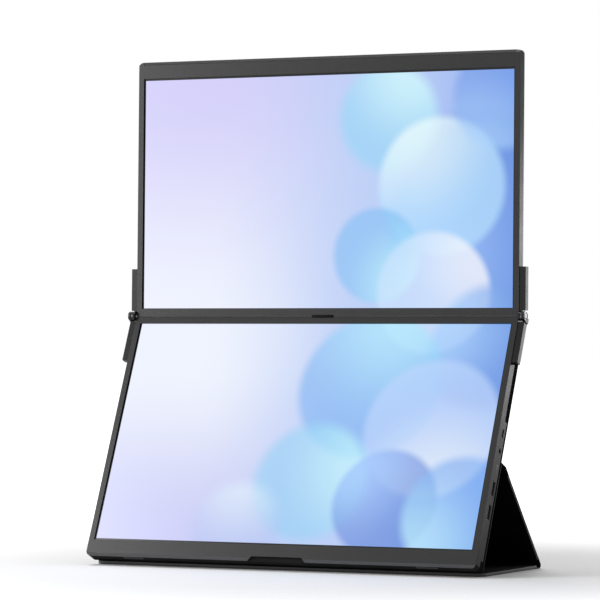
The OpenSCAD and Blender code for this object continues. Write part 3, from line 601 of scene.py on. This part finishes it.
def leaf_profile(thick):
    """A cover leaf's rings, and the two where its cut edge begins and ends.

    Each ring is its inset from the outline and its depth below the outer face, in millimetres. They make a
    pressed border line on both faces, rounded rims, and a lining that is let in.
    """
    outer = [(6.0, 0.0), (3.9, 0.0), (3.6, 0.14), (3.3, 0.14), (3.0, 0.0), (0.9, 0.0), (0.42, 0.10),
             (0.12, 0.36), (0.0, 0.75)]
    seam = thick - LINING_T
    inner = [(0.0, seam - 0.12), (0.16, seam - 0.02), (0.16, seam + 0.02), (0.04, seam + 0.12),
             (0.04, thick - 0.28), (0.14, thick - 0.08), (0.36, thick), (2.4, thick),
             (2.7, thick - 0.10), (3.0, thick - 0.10), (3.3, thick), (6.0, thick)]
    return outer + inner, len(outer) - 1, len(outer) + 2


def leaf(name, place, half, a, b, r_a, r_b, thick, mats):
    """One stiff cover leaf; place(x, y, w) gives the point at depth w below the outer face."""
    profile, edge_from, edge_to = leaf_profile(thick)
    rings = []
    for inset, w in profile:
        rings.append([place(x, y, w) for x, y in rounded_outline(half, a, b, r_a, r_b, inset)])

    def skin_edge_lining(k):
        if k < edge_from:
            return 0
        return 1 if k < edge_to else 2

    return ring_loft(name, rings, mats, skin_edge_lining)


def strip(name, path, half, thick, mats):
    """Band of skin along a path of (point, outward normal) pairs, both in the y-z plane."""
    rim = 0.3
    section = [(-half + rim, 0), (half - rim, 0), (half, rim), (half, thick - rim),
               (half - rim, thick), (-half + rim, thick), (-half, thick - rim), (-half, rim)]
    rings = []
    for point, normal in path:
        rings.append([point + (Vector((x, 0, 0)) - normal * w) * MM for x, w in section])
    return ring_loft(name, rings, mats)


def arc(centre, radius, start, end, steps):
    """Path round a centre in the y-z plane; angles in degrees from +Y towards +Z, radius in mm."""
    out = []
    for k in range(steps + 1):
        t = math.radians(start + (end - start) * k / steps)
        n = Vector((0, math.cos(t), math.sin(t)))
        out.append((centre + n * radius * MM, n))
    return out


def line(a, b, normal, steps):
    """Straight path from a to b with one outward normal."""
    return [(a.lerp(b, k / steps), normal) for k in range(steps + 1)]


# ---------------------------------------------------------------- cover
def make_cover():
    """Three stiff leaves, and the skins that bend round the two folds between them."""
    half = COVER_HALF
    base_lo, base_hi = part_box("base_lining")
    base_y0, base_y1 = base_lo[1] / MM, base_hi[1] / MM
    base_z0, base_z1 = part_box("base_skin")[0][2] / MM, base_hi[2] / MM
    edge = ("cover_skin", "cover_edge", "cover_lining")
    plain = ("cover_skin", "fold_skin", "cover_lining")
    # the back leaf's skin inside the stand takes the darker painted-shade copy of the leather
    inner = ("inner_skin_painted_shade", "fold_skin", "cover_lining")

    mesh = leaf("cover_base_leaf", lambda x, y, w: Vector((x, y, base_z0 + w)) * MM,
                half, base_y0, base_y1, BASE_FRONT_R, 1.0, base_z1 - base_z0, edge)
    ob = add("cover_base_leaf", mesh, "cover_base")
    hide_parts("base_skin", "base_lining")

    mesh = leaf("cover_strut_leaf", on_strut, half, STRUT_SOFT[0], STRUT_RUN - STRUT_SOFT[1],
                1.0, 1.0, STRUT_T, plain)
    ob = add("cover_strut_leaf", mesh, "cover_strut")
    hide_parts("strut_skin", "strut_lining")

    mesh = leaf("cover_back_leaf", lambda x, y, w: LOWER.at(x, BACK_LEAF[1] - w, y),
                half, BACK_LEAF_H[0] + SKIN_T + 0.05, BACK_LEAF_H[1], 1.0, 3.0,
                BACK_LEAF[1] - BACK_LEAF[0], inner)
    ob = add("cover_back_leaf", mesh, "lower_display")
    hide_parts("back_leaf_skin")

    # skin round the rear fold, from under the base leaf to the strut's outer face
    tuck = 1.4
    out_angle = 90 - math.degrees(STRUT_ANGLE)
    floor_y = (base_y1 - tuck) * MM
    down = Vector((0, 0, -1))
    path = line(Vector((0, floor_y, base_z0 * MM)), Vector((0, REAR.y, base_z0 * MM)), down, 6)[:-1]
    path += arc(REAR, FOLD_REAR_R, -90, out_angle, 22)
    path += line(on_strut(0, 0, 0), on_strut(0, STRUT_SOFT[0] + tuck, 0), STRUT_OUT, 6)[1:]
    ob = add("cover_rear_fold_skin", strip("cover_rear_fold_skin", path, half, SKIN_T, ("fold_skin",)),
             None)
    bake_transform(ob)
    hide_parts("rear_fold")

    # skin over the upper fold: flat from the display's back, then round into the strut
    up_angle = 90 - math.degrees(LOWER_LEAN)
    centre = LOWER.at(0, APEX_TOP_D, BACK_LEAF_H[0] + FOLD_APEX_R)
    path = line(LOWER.at(0, BACK_LEAF[0] + 0.02, BACK_LEAF_H[0]), LOWER.at(0, APEX_TOP_D, BACK_LEAF_H[0]),
                -LOWER.away, 8)[:-1]
    path += arc(centre, FOLD_APEX_R, up_angle, out_angle, 14)
    top = STRUT_RUN
    path += line(on_strut(0, top, 0), on_strut(0, top - STRUT_SOFT[1] - tuck, 0), STRUT_OUT, 6)[1:]
    ob = add("cover_upper_fold_skin", strip("cover_upper_fold_skin", path, half, SKIN_T, ("fold_skin",)),
             None)
    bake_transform(ob)
    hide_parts("upper_fold")


# ---------------------------------------------------------------- displays
def from_axis(point):
    """Distance of a point from the screens' fold axis, in millimetres."""
    d = point - AXIS
    return math.hypot(d.y, d.z) / MM


def arm_part(face):
    """Barrels black, the arms' outer side faces like the frame bands, the rest plain."""
    if all(from_axis(v.co) < BARREL_REACH for v in face.verts):
        return "barrel"
    x = face.calc_center_median().x
    faces_out = abs(face.normal.x) > 0.8 and face.normal.x * x > 0
    if faces_out and abs(x) / MM > DISPLAY_HALF + ARM_SIDE:
        return "frame_band"
    return "hinge_arm"


def bezel_part(display):
    """Front plain; sloped edge brighter as a painted reflection; walls of opening and notch painted black
    as shade; edges facing the fold a paler glossless copy, painted shade in place of their reflection; side
    like the frame.
    """
    rim = 3.0

    def pick(face):
        x, d, h = display.back(face.calc_center_median())
        along, up = face.normal.dot(display.depth), face.normal.dot(display.away)
        if abs(face.normal.x) > 0.5 and abs(x) > DISPLAY_HALF - rim:
            return "frame_band"
        # walls of the opening: painted shade
        if abs(along) < 0.6 and abs(x) < DISPLAY_HALF - rim and rim < h < OUTER_H - rim:
            return "bezel_lip"
        # opening and notch walls facing away from the fold: painted shade
        if up > 0.9 and h < OUTER_H - 0.5:
            return "bezel_lip"
        # edges facing the fold: painted shade, glossless in place of their reflection
        if up < -0.3 and h < rim:
            return "bezel_seam"
        # sloped far edge: painted reflection; the rest plain bezel
        return "chamfer" if h > OUTER_H - rim and up > 0.3 else "bezel"

    return pick


def upper_frame_part(face):
    """The faces that look down at the fold are painted dark: painted shade."""
    return "underside" if face.normal.dot(UPPER.away) < -0.5 else "frame_band"


def lower_frame_part(face):
    """The faces that look down, and the finger notch's walls, are painted dark: painted shade."""
    notch_h = 14
    if face.normal.dot(LOWER.away) > 0.2:
        return "underside"
    near_edge = LOWER.back(face.calc_center_median())[2] > OUTER_H - notch_h
    return "underside" if near_edge and abs(face.normal.x) < 0.5 else "frame_band"


def lower_shell_part(face):
    """All but the shell's back takes no gloss."""
    return "shell_side" if face.normal.dot(LOWER.depth) < 0.3 else "back_shell"


def make_displays():
    """Both displays' outer pieces and the hinge arms, with rims rounded by so many millimetres."""
    bezel = ("bezel", "chamfer", "bezel_lip", "bezel_seam", "frame_band")
    bezel_rim = 0.25
    soften("upper_bezel", bezel_rim, 2, bezel, bezel_part(UPPER))
    soften("lower_bezel", bezel_rim, 2, bezel, bezel_part(LOWER))

    band_rim = 0.12
    soften("upper_trim_strip", band_rim, 1, ("trim",))
    soften("upper_frame", band_rim, 1, ("frame_band", "underside"), upper_frame_part)
    soften("lower_frame", band_rim, 1, ("frame_band", "underside"), lower_frame_part)

    shell_rim = 0.35
    soften("upper_back_shell", shell_rim, 2, ("upper_shell",))
    soften("lower_back_shell", shell_rim, 2, ("back_shell", "shell_side"), lower_shell_part)
    soften("power_key", bezel_rim, 2, ("key",))

    arms = ("hinge_arm", "barrel", "frame_band")
    arm_rim = 0.4
    soften("hinge_upper_arms", arm_rim, 3, arms, arm_part)
    soften("hinge_lower_arms", arm_rim, 3, arms, arm_part)


def lathe(origin, along, across, profile, lobed=()):
    """Rings of a turned form: profile of (radius, distance along) in mm, some rings with six lobes."""
    third = along.cross(across)
    rings = []
    for k, (r, z) in enumerate(profile):
        ring = []
        for i in range(TURNED_STEPS):
            t = 2 * math.pi * i / TURNED_STEPS
            reach = r * (1 + 0.16 * math.cos(6 * t)) if k in lobed else r
            spoke = across * math.cos(t) + third * math.sin(t)
            ring.append(origin + (along * z + spoke * reach) * MM)
        rings.append(ring)
    return rings


def make_end_discs():
    """Caps on the barrels: dark rim, turned groove and a low polished dome."""
    lo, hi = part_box("hinge_end_discs")
    r = (hi[2] - lo[2]) / 2 / MM
    rings_of = []
    for side in (-1, 1):
        out = Vector((side, 0, 0))
        origin = Vector((side * hi[0], AXIS.y, AXIS.z))
        profile = [(r, -0.88), (r, -0.62), (r - 0.08, -0.52), (r - 0.25, -0.48), (r - 0.55, -0.48),
                   (r - 0.6, -0.56)]
        rim_rings = len(profile) - 1
        dome = r - 0.75
        for k in range(7):
            reach = dome * (1 - k / 6.5)
            profile.append((reach, -0.5 * (reach / dome) ** 2))
        rings_of.append(lathe(origin, out, Vector((0, 1, 0)), profile))
    mesh = join_rings("hinge_end_caps", rings_of, ("barrel", "disc"), lambda k: int(k >= rim_rings))
    ob = add("hinge_end_caps", mesh, "lower_display")
    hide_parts("hinge_end_discs")


def make_cable_guard():
    """Rolled guard that fills the middle slot, with a flat tail as wide, so that no light passes: a black
    filler that stands as painted shade for the dark slot.
    """
    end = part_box("cable_guard")[1][0] / MM
    places = [LOWER.back(v.co) for v in NODES["cable_guard"].data.vertices]
    deep, low = max(p[1] for p in places), max(p[2] for p in places)
    profile = [(SLOT_HALF - 0.4, 0), (SLOT_HALF - 0.12, 0.08), (SLOT_HALF - 0.05, 0.3)]
    profile += [(r, 2 * end - z) for r, z in reversed(profile)]
    roll = lathe(AXIS - Vector((end, 0, 0)) * MM, Vector((1, 0, 0)), Vector((0, 1, 0)), profile)

    # the tail's outer and inner corner at its start, its bend and its end
    under = CABLE_TOP + CABLE_T
    bends = (((0, CABLE_TOP), (0, under)),
             ((deep, CABLE_TOP), (deep - CABLE_T, under)),
             ((deep, low), (deep - CABLE_T, low)))
    side = end - 0.1
    tail = []
    for a, b in bends:
        tail.append([LOWER.at(-side, *a), LOWER.at(side, *a), LOWER.at(side, *b), LOWER.at(-side, *b)])
    # black filler piece: painted shade in the middle slot
    mesh = join_rings("cable_guard_painted_shade_fill", (roll, tail), ("black_plastic",))
    ob = add("cable_guard_painted_shade_fill", mesh, "lower_display")
    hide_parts("cable_guard")


def islands(bm):
    """The mesh's separate pieces, each as a list of vertices."""
    seen = set()
    for seed in bm.verts:
        if seed in seen:
            continue
        island, queue = [], [seed]
        seen.add(seed)
        while queue:
            v = queue.pop()
            island.append(v)
            for e in v.link_edges:
                w = e.other_vert(v)
                if w not in seen:
                    seen.add(w)
                    queue.append(w)
        yield island


def screw_profile(head, long):
    """From the tip to the floor of the head's recess."""
    return [(0.45, -long), (0.9, -long + 0.4), (0.9, -0.8), (head, -0.8), (head, -0.16),
            (head - 0.16, 0), (1.0, 0), (0.95, -0.06), (0.95, -0.5), (0.3, -0.55)]


# The recess's rings in that profile
RECESS_RINGS = (6, 7, 8)


def make_screws(node, display, body):
    """Shell screws with a chamfered head and a six-lobed recess, where the solid screws are."""
    bm = bmesh.new()
    bm.from_mesh(NODES[node].data)
    rings_of = []
    for island in islands(bm):
        xs, ds, hs = zip(*[display.back(v.co) for v in island])
        top = max(ds)
        centre = display.at((min(xs) + max(xs)) / 2, top, (min(hs) + max(hs)) / 2)
        profile = screw_profile((max(xs) - min(xs)) / 2, top - min(ds))
        rings_of.append(lathe(centre, display.depth, Vector((1, 0, 0)), profile, RECESS_RINGS))
    bm.free()
    mesh = join_rings(node + "_turned", rings_of, ("dark_screw",))
    ob = add(node + "_turned", mesh, body)
    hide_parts(node)


make_cover()
make_displays()
make_end_discs()
make_cable_guard()
make_screws("upper_shell_screws", UPPER, "upper_display")
make_screws("lower_shell_screws", LOWER, "lower_display")


# ---------------------------------------------------------------- studio
FLOOR_GLOW = 0.07
FLOOR_FADE = (0.25, 1.0)
WORLD_LIGHT = 0.36


def node_of(tree, kind, **values):
    """Adds a node; values whose names are sockets are set on them, the others are properties."""
    n = tree.nodes.new(kind)
    for key, value in values.items():
        socket = n.inputs.get(key.replace("_", " "))
        if socket is not None:
            socket.default_value = value
        else:
            setattr(n, key, value)
    return n


def seen_directly(tree):
    """1 for camera, mirror and see-through rays, 0 for rays that carry light onto surfaces."""
    path = node_of(tree, "ShaderNodeLightPath")
    out = path.outputs["Is Camera Ray"]
    for other in ("Is Glossy Ray", "Is Transmission Ray"):
        most = node_of(tree, "ShaderNodeMath", operation="MAXIMUM")
        tree.links.new(out, most.inputs[0])
        tree.links.new(path.outputs[other], most.inputs[1])
        out = most.outputs[0]
    return out


def floor_material():
    """White floor: takes the object's shadow near it, and turns into the white background further off."""
    m = bpy.data.materials.new("floor")
    m.use_nodes = True
    t = m.node_tree
    t.nodes.clear()
    out = node_of(t, "ShaderNodeOutputMaterial")
    diffuse = node_of(t, "ShaderNodeBsdfDiffuse", Color=(0.90, 0.90, 0.91, 1))
    glow = node_of(t, "ShaderNodeEmission", Color=(1, 1, 1, 1))
    place = node_of(t, "ShaderNodeTexCoord")
    away = node_of(t, "ShaderNodeVectorMath", operation="LENGTH")
    t.links.new(place.outputs["Object"], away.inputs[0])
    fade = node_of(t, "ShaderNodeMapRange", interpolation_type="SMOOTHSTEP",
                   From_Min=FLOOR_FADE[0], From_Max=FLOOR_FADE[1], To_Min=FLOOR_GLOW, To_Max=1.0)
    t.links.new(away.outputs["Value"], fade.inputs["Value"])
    amount = node_of(t, "ShaderNodeMath", operation="MULTIPLY")
    t.links.new(seen_directly(t), amount.inputs[0])
    t.links.new(fade.outputs["Result"], amount.inputs[1])
    t.links.new(amount.outputs[0], glow.inputs["Strength"])
    both = node_of(t, "ShaderNodeAddShader")
    t.links.new(diffuse.outputs[0], both.inputs[0])
    t.links.new(glow.outputs[0], both.inputs[1])
    t.links.new(both.outputs[0], out.inputs["Surface"])
    return m


def make_floor():
    """Wide enough to reach the horizon in every view."""
    mesh = bpy.data.meshes.new("floor")
    far = 16
    mesh.from_pydata([(-far, -far, 0), (far, -far, 0), (far, far, 0), (-far, far, 0)], [], [(0, 1, 2, 3)])
    mesh.materials.append(floor_material())
    ob = bpy.data.objects.new("floor", mesh)
    scene.collection.objects.link(ob)


def make_world():
    """White behind the object, with a weaker light on its surfaces."""
    world = bpy.data.worlds.new("studio")
    scene.world = world
    world.use_nodes = True
    t = world.node_tree
    bg = t.nodes["Background"]
    bg.inputs["Color"].default_value = (1, 1, 1, 1)
    strength = node_of(t, "ShaderNodeMapRange", To_Min=WORLD_LIGHT, To_Max=1.0)
    t.links.new(seen_directly(t), strength.inputs["Value"])
    t.links.new(strength.outputs["Result"], bg.inputs["Strength"])


def softbox(name, place, aim, size, radiance, mirror_only=False):
    """Area lamp whose face shines at the given radiance, unseen by the camera itself."""
    data = bpy.data.lights.new(name, "AREA")
    data.shape = "RECTANGLE"
    data.size, data.size_y = size
    data.energy = radiance * math.pi * size[0] * size[1]
    ob = bpy.data.objects.new(name, data)
    ob.location = place
    ob.rotation_euler = (Vector(aim) - Vector(place)).to_track_quat("-Z", "Y").to_euler()
    ob.visible_camera = False
    ob.visible_diffuse = not mirror_only
    scene.collection.objects.link(ob)


make_floor()
make_world()
# front left, where the bezels mirror it towards their left ends
softbox("key", (-1.30, -1.14, 0.62), (0, 0, 0.25), (0.55, 1.1), 9.5)
# behind right at the height of the fold, for the side faces
softbox("rim", (0.53, 0.66, 0.28), (0.21, 0.03, 0.28), (0.34, 0.26), 9.0, mirror_only=True)
# overhead left, for the floor and its shadow
softbox("top", (-0.8, 0.5, 2.6), (0, 0, 0.1), (1.6, 1.6), 4.0)
scene.view_settings.view_transform = "Standard"
